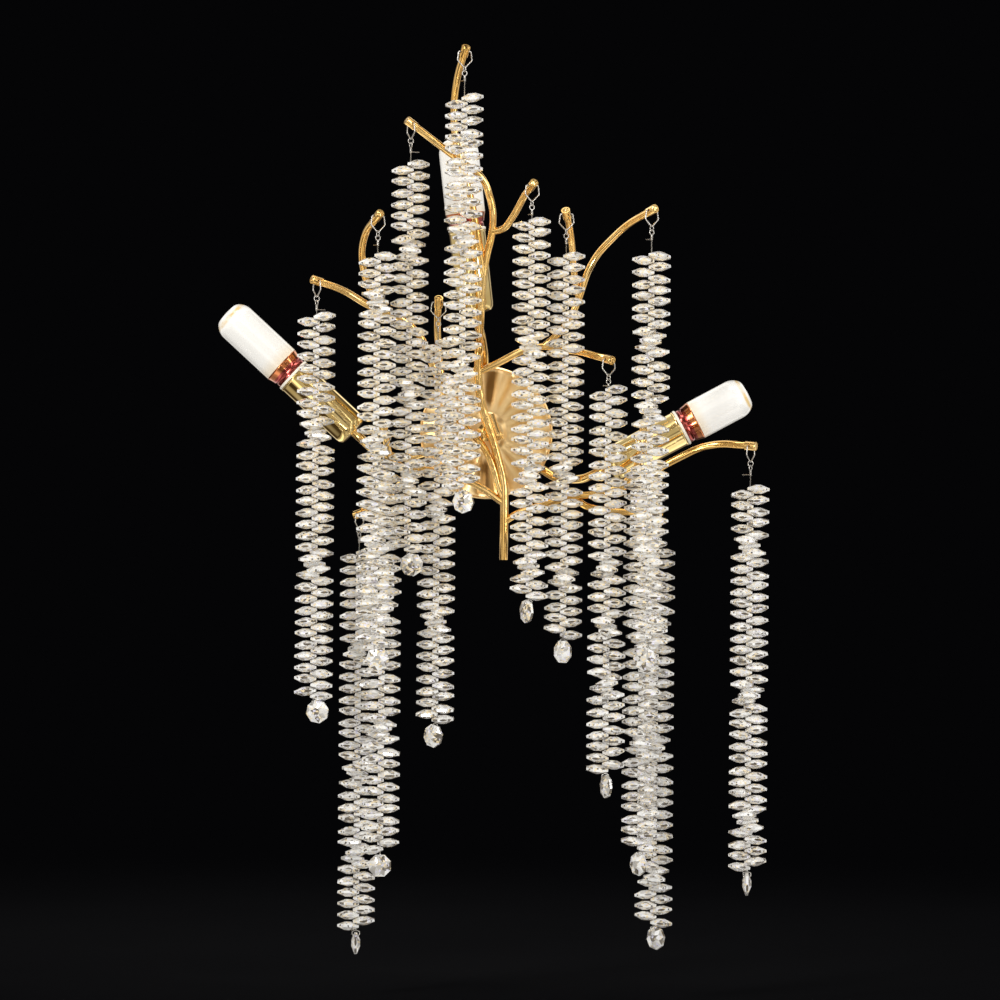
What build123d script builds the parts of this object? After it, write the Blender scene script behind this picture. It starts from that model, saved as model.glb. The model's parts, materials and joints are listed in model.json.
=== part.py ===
"""Crystal wall sconce: three lamps behind fourteen strands of octagon crystals on bent brass branches.

Millimetres. The origin is the centre of the round plate on the wall plane, with X to the right, Y into the
wall and Z up, so the sconce faces -Y. Each strand has the letter of the branch that it hangs from.
"""

import os
from math import cos, radians, sin, tan

from build123d import *

os.makedirs("parts", exist_ok=True)

# --- Wall fixing --------------------------------------------------------------------------------------------
BRACKET_LENGTH, BRACKET_WIDTH, BRACKET_THICK = 76.0, 18.0, 2.5
SCREW_SPACING = 54.0  # between the two wall screws
SCREW_SLOT_LENGTH, SCREW_SLOT_WIDTH = 10.0, 5.0
STUD_RADIUS, STUD_BORE_RADIUS = 5.0, 3.5  # hollow threaded stud
NUT_RADIUS, NUT_THICK = 8.0, 4.0
THREAD_CLEARANCE = 0.1
SLIP_CLEARANCE = 0.2

CANOPY_RADIUS, CANOPY_DEPTH, CANOPY_WALL = 40.0, 26.0, 1.2
CANOPY_EDGE_FILLET = 4.0

# --- Fluted plate and the post that holds the stem ----------------------------------------------------------
PLATE_RADIUS, PLATE_THICK = 48.5, 1.2
PLATE_RIM_RADIUS = 1.0
PLATE_RISE = 5.0  # from the front of the canopy to the foot of the boss
PLATE_SEAT_LIFT = 0.15  # where it would meet the canopy's front, since it bears on the canopy's rounded edge
BOSS_RADIUS, BOSS_HEIGHT, BOSS_STEP = 15.0, 4.0, 2.5
POST_RADIUS = 6.5
POST_THREAD_DEPTH = 9.0
POST_SHOULDER = 2.5  # full width past the thread
POST_NECK_RADIUS = 4.2
SLEEVE_RADIUS, SLEEVE_LENGTH = 3.4, 15.0
SLEEVE_COLLAR_RADIUS, SLEEVE_COLLAR_LENGTH = 4.2, 5.0
SLEEVE_GROOVES, SLEEVE_GROOVE_RADIUS = 14, 0.4
SLEEVE_SIDE = 4.0  # sleeve axis to stem axis, sideways
SLEEVE_TOP = 13.0  # height of its upper end

# --- Branches -----------------------------------------------------------------------------------------------
STEM_RADIUS = 3.1
BRANCH_RADIUS = 2.6
TWIG_RADIUS = 2.5
SPUR_RADIUS = 2.4
BEND_SHARE = 0.45  # share of the shorter run that a bend takes
FERRULE_RADIUS, FERRULE_LENGTH = 3.2, 8.0
TIP_HOLE_RADIUS = 1.1
TIP_HOLE_FROM_END = 4.0

# --- Lamps --------------------------------------------------------------------------------------------------
ARM_RADIUS, ARM_BORE_RADIUS = 3.2, 2.3
ARM_INSIDE_CANOPY = 4.0
ARM_INSIDE_CUP = 3.0
ARM_HEIGHT = 13.0  # arms leave the canopy this far from the wall
LAMP_DEPTH = 38.0  # lamp axes this far from the wall
CUP_RADIUS, CUP_LENGTH, CUP_WALL = 13.4, 60.5, 1.0
CUP_BOTTOM_RADIUS, CUP_BOTTOM_ROUND = 11.4, 4.0
HOLDER_RADIUS, HOLDER_LENGTH = 11.6, 42.0
HOLDER_RIM_RADIUS, HOLDER_RIM_THICK = 13.9, 2.2
CAP_RADIUS, CAP_LENGTH = 7.0, 25.0  # 14 mm screw cap
CAP_TIP_RADIUS, CAP_TIP_LENGTH = 4.2, 5.0
COLLAR_RING_RADIUS, COLLAR_RING_LENGTH = 12.9, 3.6
COLLAR_BAND_RADIUS, COLLAR_BAND_LENGTH = 13.5, 7.4
GLASS_RADIUS, GLASS_WALL, GLASS_DOME = 14.7, 1.3, 7.0
GLASS_CROWN_RADIUS, GLASS_CROWN_DROP = 9.1, 0.8
GLASS_SHOULDER_ROUND = 6.0
GLASS_LIP = 2.0
CAPSULE_RADIUS, CAPSULE_LENGTH, CAPSULE_ROUND = 4.5, 26.0, 4.0

# --- Wiring inside the canopy -------------------------------------------------------------------------------
LEAD_RADIUS = 1.4
TERMINAL_BLOCK = (12.0, 10.0, 26.0)
TERMINAL_CENTRE_X = 15.0
TERMINAL_SCREW_RADIUS, TERMINAL_SCREW_LENGTH, TERMINAL_PITCH = 1.8, 1.2, 8.7
LEAD_DEPTH = 8.5  # where the leads leave the block
LEAD_UNDER_FACE = 2.8  # each starts this far inside the block, and is trimmed to its face
LEAD_END_Z = TERMINAL_BLOCK[2] / 2 - LEAD_UNDER_FACE
LEAD_SIDE_X = TERMINAL_CENTRE_X + TERMINAL_BLOCK[0] / 2 - LEAD_UNDER_FACE
LEAD_STARTS = {  # where each lead leaves the terminal block, and its way round the stud
    "top": [(TERMINAL_CENTRE_X, -LEAD_DEPTH, LEAD_END_Z), (12.0, -10.0, 19.0)],
    "left": [(TERMINAL_CENTRE_X, -LEAD_DEPTH, -LEAD_END_Z), (9.0, -10.5, -18.5), (-10.0, -12.5, -15.0)],
    "right": [(LEAD_SIDE_X, -LEAD_DEPTH, 0.0), (25.5, -9.5, -1.5)],
}

# --- Strands ------------------------------------------------------------------------------------------------
BEAD_WIDTH = 16.0  # across flats
BEAD_TABLE_WIDTH = 5.0
BEAD_THICK, BEAD_EDGE_THICK = 6.4, 1.8
BEAD_HOLE_RADIUS = 0.65
BEAD_HOLE_FROM_EDGE = 2.16
BEAD_PITCH = 4.2
HALF_TURN_BEADS = 6  # beads over which the zigzag of a strand turns half round
WIRE_RADIUS = 0.35
HOOK_WIRE_RADIUS = 0.45
HOOK_WIDTH, HOOK_BELLY, HOOK_BELLY_DROP, HOOK_HEIGHT = 9.4, 11.2, 6.5, 12.3
HOOK_BEND = 1.2
RING_RADIUS = 2.1
EYE_RADIUS = 1.8
TWIST_RADIUS, TWIST_LENGTH = 0.8, 4.0
TAIL_LENGTH = 7.0
LINK_GAP = 0.15
BAIL_WIDTH, BAIL_SHOULDER, BAIL_HEIGHT, BAIL_BEND = 5.4, 2.8, 3.7, 0.6
DROP_HOLE_BELOW_BEAD = 6.4


def bends(route):
    """The radius at each corner of a route: each arc takes BEND_SHARE of the shorter run beside it."""
    radii = []
    for a, b, c in zip(route, route[1:], route[2:]):
        before, after = Vector(*b) - Vector(*a), Vector(*c) - Vector(*b)
        turn = radians(before.get_angle(after))
        radii.append(BEND_SHARE * min(before.length, after.length) / tan(turn / 2))
    return radii


def bent_tube(route, radius, bore=0.0, radii=None):
    """A round rod, or a tube where it has a bore, along straight runs joined by tangent arcs."""
    with BuildPart() as tube:
        with BuildLine() as path:
            FilletPolyline(*route, radius=radii or bends(route))
        start = Plane(origin=path.wire() @ 0, z_dir=path.wire() % 0)
        with BuildSketch(start):
            Circle(radius)
            if bore:
                Circle(bore, mode=Mode.SUBTRACT)
        sweep()
    return tube, path.wire()


def turned(frame, outline, rounds=()):
    """A solid turned about the Z axis of a frame from its half section, with rounds as (corner, radius)."""
    section = Plane(origin=frame.origin, x_dir=frame.x_dir, z_dir=-frame.y_dir)
    with BuildPart() as piece:
        with BuildSketch(section) as half:
            with BuildLine():
                Polyline(*outline, close=True)
            make_face()
            for corner, radius in rounds:
                fillet(half.vertices().sort_by_distance(corner)[0], radius)
        revolve(axis=Axis(frame.origin, frame.z_dir))
    return piece


def keep(part, name):
    """Label a finished piece and write its file."""
    part.label = name
    export_step(part, f"parts/{name}.step", write_pcurves=False)


# --- Wall bracket, canopy, stud -----------------------------------------------------------------------------
FACE = Plane(origin=(0, 0, 0), x_dir=(1, 0, 0), z_dir=(0, -1, 0))  # the wall plane, seen from the room


def at_depth(depth):
    """A plane parallel to the wall, this far out into the room."""
    return FACE.offset(depth)


with BuildPart() as wall_bracket:
    with BuildSketch(FACE):
        SlotOverall(BRACKET_LENGTH, BRACKET_WIDTH)
        Circle(STUD_RADIUS + THREAD_CLEARANCE, mode=Mode.SUBTRACT)
        with GridLocations(SCREW_SPACING, 0, 2, 1):
            SlotOverall(SCREW_SLOT_LENGTH, SCREW_SLOT_WIDTH, mode=Mode.SUBTRACT)
    extrude(amount=BRACKET_THICK)

# The lamp arms leave the canopy through its side, in the direction of the first point of their routes.
LAMPS = {
    # name: axis direction in the XZ plane from the cup's foot, foot, glass length, points of the arm
    "top": ((-15.2, 130.1), (-8.3, 88.9), 56.0, ((-2.0, 58.0, 17.0), (-4.5, 73.0, 33.0))),
    "left": ((-96.9, 88.6), (-97.8, -0.6), 56.0, ((-62.0, -20.5, 18.0), (-82.0, -15.0, 33.0))),
    "right": ((53.6, 29.1), (90.5, -24.7), 43.5, ((54.0, -34.5, 18.0), (73.0, -34.0, 33.0))),
}


def arm_route(lamp):
    """From inside the canopy, out through its side and round to the foot of the lamp cup."""
    direction, foot, _, points = LAMPS[lamp]
    axis = Vector(direction[0], 0, direction[1]).normalized()
    first = Vector(points[0][0], 0, points[0][1]).normalized()
    inner = first * (CANOPY_RADIUS - CANOPY_WALL - ARM_INSIDE_CANOPY)
    outer = first * (CANOPY_RADIUS + 2 * ARM_RADIUS)
    foot_point = Vector(foot[0], -LAMP_DEPTH, foot[1])
    route = [(inner.X, -ARM_HEIGHT, inner.Z), (outer.X, -ARM_HEIGHT, outer.Z)]
    route += [(x, -depth, z) for x, z, depth in points]
    end = foot_point + axis * (CUP_WALL + ARM_INSIDE_CUP)
    lead_in = foot_point - axis * 2 * ARM_RADIUS
    return route + [(lead_in.X, lead_in.Y, lead_in.Z), (end.X, end.Y, end.Z)]


ARM_ROUTES = {lamp: arm_route(lamp) for lamp in LAMPS}

with BuildPart() as canopy:
    with BuildSketch(FACE):
        Circle(CANOPY_RADIUS)
    extrude(amount=CANOPY_DEPTH)
    fillet(canopy.faces().sort_by(Axis.Y)[0].edges(), CANOPY_EDGE_FILLET)
    offset(amount=-CANOPY_WALL, openings=canopy.faces().sort_by(Axis.Y)[-1])
    with BuildSketch(at_depth(CANOPY_DEPTH)):
        Circle(STUD_RADIUS + SLIP_CLEARANCE)
    extrude(amount=-2 * CANOPY_WALL, mode=Mode.SUBTRACT)
    for lamp, route in ARM_ROUTES.items():
        inner, outer = Vector(*route[0]), Vector(*route[1])
        with BuildSketch(Plane(origin=inner, z_dir=outer - inner)):
            Circle(ARM_RADIUS + SLIP_CLEARANCE)
        extrude(amount=(outer - inner).length, mode=Mode.SUBTRACT)

# The plate bears on the rounded edge of the canopy, and its boss on a spacer round the stud.
PLATE_SEAT_RADIUS = CANOPY_RADIUS - CANOPY_EDGE_FILLET
BOSS_FOOT = CANOPY_DEPTH + PLATE_RISE
BOSS_FACE = BOSS_FOOT + BOSS_HEIGHT
PLATE_SEAT_DEPTH = CANOPY_DEPTH + PLATE_SEAT_LIFT
PLATE_SLOPE = (BOSS_FOOT - PLATE_SEAT_DEPTH) / (PLATE_SEAT_RADIUS - BOSS_RADIUS)
PLATE_RIM_DEPTH = PLATE_SEAT_DEPTH - PLATE_SLOPE * (PLATE_RADIUS - PLATE_SEAT_RADIUS)
under = [
    (STUD_RADIUS + SLIP_CLEARANCE, BOSS_FACE),
    (BOSS_RADIUS - BOSS_STEP, BOSS_FACE),
    (BOSS_RADIUS, BOSS_FOOT),
    (PLATE_SEAT_RADIUS, PLATE_SEAT_DEPTH),
    (PLATE_RADIUS, PLATE_RIM_DEPTH),
]
over = [(across, along + PLATE_THICK) for across, along in reversed(under)]
fluted_plate = turned(FACE, under + over)
with BuildPart() as fluted_plate_rim:
    with BuildSketch(Plane(origin=FACE.origin, x_dir=FACE.x_dir, z_dir=-FACE.y_dir)):
        with Locations((PLATE_RADIUS, PLATE_RIM_DEPTH + PLATE_THICK / 2)):
            Circle(PLATE_RIM_RADIUS)
    revolve(axis=Axis(FACE.origin, FACE.z_dir))
with BuildPart() as back_plate:
    add(fluted_plate.part)
    add(fluted_plate_rim.part)

PLATE_FACE = BOSS_FACE + PLATE_THICK
STUD_LENGTH = PLATE_FACE + POST_THREAD_DEPTH
with BuildPart() as stud:
    with BuildSketch(FACE):
        Circle(STUD_RADIUS)
        Circle(STUD_BORE_RADIUS, mode=Mode.SUBTRACT)
    extrude(amount=STUD_LENGTH)
with BuildPart() as lock_nut:
    with BuildSketch(at_depth(BRACKET_THICK)):
        RegularPolygon(NUT_RADIUS, 6)
        Circle(STUD_RADIUS + THREAD_CLEARANCE, mode=Mode.SUBTRACT)
    extrude(amount=NUT_THICK)
with BuildPart() as canopy_nut:
    with BuildSketch(at_depth(CANOPY_DEPTH - CANOPY_WALL - NUT_THICK)):
        RegularPolygon(NUT_RADIUS, 6)
        Circle(STUD_RADIUS + THREAD_CLEARANCE, mode=Mode.SUBTRACT)
    extrude(amount=NUT_THICK)
with BuildPart() as spacer:
    with BuildSketch(at_depth(CANOPY_DEPTH)):
        Circle(NUT_RADIUS)
        Circle(STUD_RADIUS + THREAD_CLEARANCE, mode=Mode.SUBTRACT)
    extrude(amount=BOSS_FACE - CANOPY_DEPTH)
centre_fixing = Compound([stud.part, lock_nut.part, canopy_nut.part, spacer.part])

# --- Branches -----------------------------------------------------------------------------------------------
STEM_ROUTE = [
    (13.6, -62, -94), (14, -62, -58), (13.6, -62, -36), (5, -62, -5.5), (-3.2, -62, 17.5), (-6.6, -62, 42),
    (-5.6, -63, 64),
]
BRANCH_ROUTES = {
    # name: (trunk, radius, route from the trunk to the cut tip)
    "b": ("stem", BRANCH_RADIUS, [
        (-5.6, -63, 64), (-3.6, -66, 104), (-1.9, -68, 125), (3.4, -71, 146), (4, -73, 163), (-3, -75, 187),
        (-23, -79, 200), (-43, -84, 215), (-59.7, -94, 227),
    ]),
    "a": ("b", TWIG_RADIUS, [
        (-2.6, -67, 115), (-7, -72, 144), (-13, -80, 174), (-21, -88, 199), (-25.5, -90, 221),
        (-25.5, -92, 242), (-23, -98, 260), (-16.8, -115, 279),
    ]),
    "f": ("b", TWIG_RADIUS, [
        (3.3, -71, 147), (12.6, -75, 149), (21, -81, 162), (26.5, -88, 173), (33.6, -104, 181.5),
    ]),
    "d": ("stem", BRANCH_RADIUS, [
        (13.4, -62, -50), (9.6, -62, -41), (5, -62, -24), (-2.5, -61, -9), (-21, -56, 9), (-38, -53, 44),
        (-48, -55, 70), (-63, -60, 84), (-86, -70, 91), (-105, -82, 103), (-127.8, -96, 110),
    ]),
    "c": ("d", TWIG_RADIUS, [
        (-77, -66, 88), (-85, -70, 100), (-91, -76, 116), (-92.5, -84, 132.5), (-89, -94, 146),
        (-78.2, -116, 157.6),
    ]),
    "e": ("d", TWIG_RADIUS, [(-32, -54, 31), (-35, -53, 52), (-37, -56, 78), (-35.6, -73, 98)]),
    "l": ("stem", BRANCH_RADIUS, [
        (13.4, -62, -52.5), (-3.4, -60, -40.5), (-19, -57, -33.5), (-48, -53, -27.5), (-63, -53, -26.5),
        (-71, -57, -19), (-76, -71, 4),
    ]),
    "k": ("l", TWIG_RADIUS, [(-52, -53, -27.3), (-67, -46, -43), (-81, -38, -56), (-96.8, -28, -62.2)]),
    "i": ("stem", BRANCH_RADIUS, [
        (-6.6, -62, 44), (10, -63, 51.5), (25, -64, 60), (42, -65, 64), (56, -64.5, 61), (69, -69, 59.5),
        (91.2, -104, 52.5),
    ]),
    "h": ("i", TWIG_RADIUS, [
        (42, -65, 64), (52, -66, 72), (61, -66, 83), (67.5, -67, 99), (74, -70, 120), (82, -74, 133),
        (101, -90, 152), (121.3, -121, 162.5),
    ]),
    "g": ("h", SPUR_RADIUS, [
        (67.5, -67, 99), (63.6, -68, 116.5), (62, -71, 137.5), (60, -76.5, 151), (56.8, -88.5, 162.5),
    ]),
    "j": ("stem", BRANCH_RADIUS, [
        (13.7, -62, -66), (23, -62, -60), (38, -62, -54.5), (65, -62, -46.5), (85, -62, -45), (106, -64, -38),
        (130, -67, -24), (157, -72, -10), (173, -76, -7), (197, -92, -9.2),
    ]),
    "m": ("j", TWIG_RADIUS, [(99, -63.4, -40.5), (109, -70, -30), (114, -76.5, -16), (115.6, -86.5, 4.2)]),
    "n": ("j", TWIG_RADIUS, [
        (65, -62, -46.5), (73, -60, -54), (85, -57, -56.5), (106, -52, -58.5), (130.4, -44, -57.8),
    ]),
}
NEIGHBOURS = {"l": "d"}  # leaves the trunk beside this branch, and is coped to fit it too


class Branch:
    """A bent rod on its trunk, coped to fit it, with the cross hole and the swing axis of its tip."""

    def __init__(self, route, radius, trunk_solid, trunk_path):
        route = [tuple(trunk_path.closest_points(Vertex(*route[0]))[0])] + route[1:]
        tube, self.path = bent_tube(route, radius)
        end, before = Vector(*route[-1]), Vector(*route[-2])
        self.direction = (end - before).normalized()
        self.end = end
        self.hole = end - self.direction * TIP_HOLE_FROM_END
        self.axis = self.direction.cross(Vector(0, 0, 1)).normalized()
        with BuildPart() as drill:
            with BuildSketch(Plane(origin=self.hole, z_dir=self.axis)):
                Circle(TIP_HOLE_RADIUS)
            extrude(amount=2 * FERRULE_RADIUS, both=True)
        with BuildPart() as rod:
            add(tube.part)
            add(trunk_solid, mode=Mode.SUBTRACT)
            add(drill.part, mode=Mode.SUBTRACT)
        self.part = rod.part.solids().sort_by(SortBy.VOLUME)[-1]
        with BuildPart() as ferrule:
            with BuildSketch(Plane(origin=end, z_dir=-self.direction)):
                Circle(FERRULE_RADIUS)
                Circle(radius, mode=Mode.SUBTRACT)
            extrude(amount=FERRULE_LENGTH)
            add(drill.part, mode=Mode.SUBTRACT)
        self.ferrule = ferrule.part


main_stem, stem_path = bent_tube(STEM_ROUTE, STEM_RADIUS)
trunks = {"stem": (main_stem.part, stem_path)}
branches = {}
for letter, (trunk, radius, route) in BRANCH_ROUTES.items():
    trunk_solid, trunk_path = trunks[trunk]
    if letter in NEIGHBOURS:
        with BuildPart() as crotch:
            add(trunk_solid)
            add(trunks[NEIGHBOURS[letter]][0])
        trunk_solid = crotch.part
    branches[letter] = Branch(route, radius, trunk_solid, trunk_path)
    trunks[letter] = (branches[letter].part, branches[letter].path)

# A sleeve with a grooved collar lies behind the stem and to its right, along it, with the collar against it.
stem_at_post = stem_path.closest_points(Vertex(0, STEM_ROUTE[0][1], 0))[0]
stem_direction = (Vector(*STEM_ROUTE[4]) - Vector(*STEM_ROUTE[3])).normalized()
sleeve_sideways = Vector(0, -1, 0).cross(stem_direction)
sleeve_behind = Vector(0, ((STEM_RADIUS + SLEEVE_COLLAR_RADIUS) ** 2 - SLEEVE_SIDE ** 2) ** 0.5, 0)
sleeve_line = stem_at_post - sleeve_sideways * SLEEVE_SIDE + sleeve_behind
sleeve_top = sleeve_line + stem_direction * (SLEEVE_TOP - sleeve_line.Z) / stem_direction.Z
with BuildPart() as clamp_sleeve:
    with BuildSketch(Plane(origin=sleeve_top, z_dir=-stem_direction)):
        Circle(SLEEVE_RADIUS)
    extrude(amount=SLEEVE_LENGTH)
    with BuildSketch(clamp_sleeve.faces().sort_by(Axis(sleeve_top, -stem_direction))[-1]):
        Circle(SLEEVE_COLLAR_RADIUS)
        with PolarLocations(SLEEVE_COLLAR_RADIUS, SLEEVE_GROOVES):
            Circle(SLEEVE_GROOVE_RADIUS, mode=Mode.SUBTRACT)
    extrude(amount=SLEEVE_COLLAR_LENGTH)

# The post screws onto the stud, clamps the plate and carries the stem in a saddle at the end of its neck.
POST_SHOULDER_DEPTH = PLATE_FACE + POST_THREAD_DEPTH + POST_SHOULDER
with BuildPart() as centre_post:
    with BuildSketch(at_depth(PLATE_FACE)):
        Circle(POST_RADIUS)
    extrude(amount=POST_SHOULDER_DEPTH - PLATE_FACE)
    with BuildSketch(at_depth(POST_SHOULDER_DEPTH)):
        Circle(POST_NECK_RADIUS)
    extrude(amount=-stem_at_post.Y - POST_SHOULDER_DEPTH)
    with BuildSketch(at_depth(PLATE_FACE)):
        Circle(STUD_RADIUS + THREAD_CLEARANCE)
    extrude(amount=POST_THREAD_DEPTH, mode=Mode.SUBTRACT)
    add(main_stem.part, mode=Mode.SUBTRACT)
    add(clamp_sleeve.part, mode=Mode.SUBTRACT)

SHAPES = {
    "wall_bracket": wall_bracket.part,
    "canopy": canopy.part,
    "back_plate": back_plate.part,
    "centre_fixing": centre_fixing,
    "centre_post": Compound([*centre_post.part.solids(), clamp_sleeve.part]),
    "main_stem": main_stem.part,
}
for letter in sorted(branches):
    SHAPES[f"branch_{letter}"] = branches[letter].part
SHAPES["tip_ferrules"] = Compound([branches[letter].ferrule for letter in sorted(branches)])

# --- Terminal block -----------------------------------------------------------------------------------------
with BuildPart() as terminal_block:
    with BuildSketch(at_depth(BRACKET_THICK)):
        with Locations((TERMINAL_CENTRE_X, 0)):
            Rectangle(TERMINAL_BLOCK[0], TERMINAL_BLOCK[2])
    extrude(amount=TERMINAL_BLOCK[1])
    with BuildSketch(at_depth(BRACKET_THICK + TERMINAL_BLOCK[1])):
        with Locations((TERMINAL_CENTRE_X, 0)):
            with GridLocations(0, TERMINAL_PITCH, 1, 3):
                Circle(TERMINAL_SCREW_RADIUS)
    extrude(amount=TERMINAL_SCREW_LENGTH)

# --- Lamps --------------------------------------------------------------------------------------------------
lamp_arms, lamp_leads, lamp_cups, lampholders = [], [], [], []
HOLDER_FOOT = CUP_LENGTH - HOLDER_LENGTH
SOCKET_DEPTH = CAP_LENGTH + 2 * SLIP_CLEARANCE
COLLAR_LENGTH = COLLAR_RING_LENGTH + COLLAR_BAND_LENGTH
for lamp, (direction, foot, glass_length, _) in LAMPS.items():
    axis = Vector(direction[0], 0, direction[1]).normalized()
    frame = Plane(origin=(foot[0], -LAMP_DEPTH, foot[1]), x_dir=(0, -1, 0), z_dir=axis)
    rim = CUP_LENGTH + HOLDER_RIM_THICK  # the face that the lamp's collar comes down on

    arm, _ = bent_tube(ARM_ROUTES[lamp], ARM_RADIUS, ARM_BORE_RADIUS)
    lamp_arms.append(arm.part)

    hole = ARM_RADIUS + THREAD_CLEARANCE
    cup = turned(frame, [
        (hole, 0), (CUP_BOTTOM_RADIUS, 0), (CUP_RADIUS, CUP_BOTTOM_ROUND), (CUP_RADIUS, CUP_LENGTH),
        (CUP_RADIUS - CUP_WALL, CUP_LENGTH), (CUP_RADIUS - CUP_WALL, CUP_BOTTOM_ROUND + CUP_WALL),
        (CUP_BOTTOM_RADIUS - CUP_WALL, CUP_WALL), (hole, CUP_WALL),
    ])
    lamp_cups.append(cup.part)

    holder = turned(frame, [
        (ARM_BORE_RADIUS, HOLDER_FOOT), (HOLDER_RADIUS, HOLDER_FOOT), (HOLDER_RADIUS, CUP_LENGTH),
        (HOLDER_RIM_RADIUS, CUP_LENGTH), (HOLDER_RIM_RADIUS, rim), (CAP_RADIUS + SLIP_CLEARANCE, rim),
        (CAP_RADIUS + SLIP_CLEARANCE, rim - SOCKET_DEPTH), (ARM_BORE_RADIUS, rim - SOCKET_DEPTH),
    ])
    lampholders.append(holder.part)

    top = rim + COLLAR_LENGTH
    lip = GLASS_RADIUS - GLASS_WALL - THREAD_CLEARANCE
    base = turned(frame, [
        (0, rim - CAP_LENGTH), (CAP_TIP_RADIUS, rim - CAP_LENGTH),
        (CAP_RADIUS, rim - CAP_LENGTH + CAP_TIP_LENGTH), (CAP_RADIUS, rim), (COLLAR_RING_RADIUS, rim),
        (COLLAR_RING_RADIUS, rim + COLLAR_RING_LENGTH), (COLLAR_BAND_RADIUS, rim + COLLAR_RING_LENGTH),
        (GLASS_RADIUS, top), (lip, top), (lip, top + GLASS_LIP), (0, top + GLASS_LIP),
    ])
    crown = top + glass_length
    glass = turned(frame, [
        (GLASS_RADIUS, top), (GLASS_RADIUS, crown - GLASS_DOME), (GLASS_CROWN_RADIUS, crown - GLASS_CROWN_DROP),
        (0, crown), (0, crown - GLASS_WALL), (GLASS_CROWN_RADIUS, crown - GLASS_CROWN_DROP - GLASS_WALL),
        (GLASS_RADIUS - GLASS_WALL, crown - GLASS_DOME), (GLASS_RADIUS - GLASS_WALL, top),
    ], rounds=[((GLASS_RADIUS, crown - GLASS_DOME), GLASS_SHOULDER_ROUND)])
    capsule_foot = top + GLASS_LIP
    capsule = turned(frame, [
        (0, capsule_foot), (CAPSULE_RADIUS, capsule_foot), (CAPSULE_RADIUS, capsule_foot + CAPSULE_LENGTH),
        (0, capsule_foot + CAPSULE_LENGTH),
    ], rounds=[((CAPSULE_RADIUS, capsule_foot + CAPSULE_LENGTH), CAPSULE_ROUND)])
    SHAPES[f"bulb_{lamp}_base"] = base.part
    SHAPES[f"bulb_{lamp}_glass"] = Compound([glass.part, capsule.part])

    # The lead runs from the terminal block into the arm, along its middle and up into the lampholder.
    arm_start, arm_second = Vector(*ARM_ROUTES[lamp][0]), Vector(*ARM_ROUTES[lamp][1])
    before_arm = arm_start - (arm_second - arm_start).normalized() * 2 * ARM_RADIUS
    lead_end = frame.from_local_coords((0, 0, rim - SOCKET_DEPTH))
    lead_route = [*LEAD_STARTS[lamp], tuple(before_arm), *ARM_ROUTES[lamp][1:-1], tuple(lead_end)]
    lead_bends = bends(lead_route)[:len(LEAD_STARTS[lamp])] + bends(ARM_ROUTES[lamp])
    whole_lead, _ = bent_tube(lead_route, LEAD_RADIUS, radii=lead_bends)
    with BuildPart() as lead:
        add(whole_lead.part)
        add(terminal_block.part, mode=Mode.SUBTRACT)
    lamp_leads.append(lead.part)

SHAPES["lamp_arms"] = Compound(lamp_arms)
SHAPES["lamp_leads"] = Compound(lamp_leads)
SHAPES["lamp_cups"] = Compound(lamp_cups)
SHAPES["lampholders"] = Compound(lampholders)
SHAPES["terminal_block"] = terminal_block.part

# --- Crystal strands ----------------------------------------------------------------------------------------
# name: (bare wire from the tip hole to the first bead, beads, beads at which the zigzag turns half round,
#        heading of the drop in degrees, its tilt in degrees)
STRANDS = {
    "a": (34.2, 68, (21, 44), 60, -20),
    "b": (30.0, 68, (12, 37, 52), 85, -34),
    "c": (29.1, 68, (5, 30, 47), 85, -25),
    "d": (26.3, 67, (17, 40), 70, -35),
    "e": (29.5, 67, (26, 46), 50, 15),
    "f": (26.3, 66, (19, 41, 57), 30, 30),
    "g": (31.0, 67, (35, 53), 45, 0),
    "h": (32.8, 68, (12, 24, 49), 70, 25),
    "i": (22.0, 67, (28, 38, 48), 25, -15),
    "j": (31.4, 67, (7, 33, 55), 0, 25),
    "k": (29.3, 67, (14, 36, 50), 0, 0),
    "l": (26.5, 68, (22, 43), 88, 0),
    "m": (27.1, 67, (27, 45), 40, 15),
    "n": (30.4, 66, (10, 31, 54), 45, -30),
}
BEAD_REACH = BEAD_WIDTH / 2 - BEAD_HOLE_FROM_EDGE  # hole to bead centre


# A flat octagon whose faces slope from a small table down to the girdle, with a hole near two opposite edges.
BEAD_SLOPE = (BEAD_WIDTH - BEAD_TABLE_WIDTH) / 2
BEAD_BEVEL = (BEAD_THICK - BEAD_EDGE_THICK) / 2
with BuildPart() as bead:
    with BuildSketch(Plane.XY.offset(-BEAD_THICK / 2)):
        RegularPolygon(BEAD_WIDTH / 2, 8, major_radius=False, rotation=180 / 8)
    extrude(amount=BEAD_THICK)
    for side in (0, -1):
        table = bead.faces().sort_by(Axis.Z)[side]
        chamfer(table.edges(), length=BEAD_SLOPE, length2=BEAD_BEVEL, reference=table)
    with Locations((-BEAD_REACH, 0, 0), (BEAD_REACH, 0, 0)):
        Hole(BEAD_HOLE_RADIUS)


def zigzag_heading(number, half_turns):
    """Which way a bead points from the wire: left, right, left, with a slow half turn here and there."""
    turned_share = sum(min(max((number - start) / HALF_TURN_BEADS, 0), 1) for start in half_turns)
    return 180 * (number + turned_share)


def wire_loop(plane, corners, wire, radius):
    """A closed loop of wire through flat corners with small bends."""
    with BuildPart() as loop:
        with BuildLine(plane) as path:
            FilletPolyline(*corners, radius=[radius] * len(corners), close=True)
        with BuildSketch(Plane(origin=path.wire() @ 0, z_dir=path.wire() % 0)):
            Circle(wire)
        sweep()
    return loop


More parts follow.
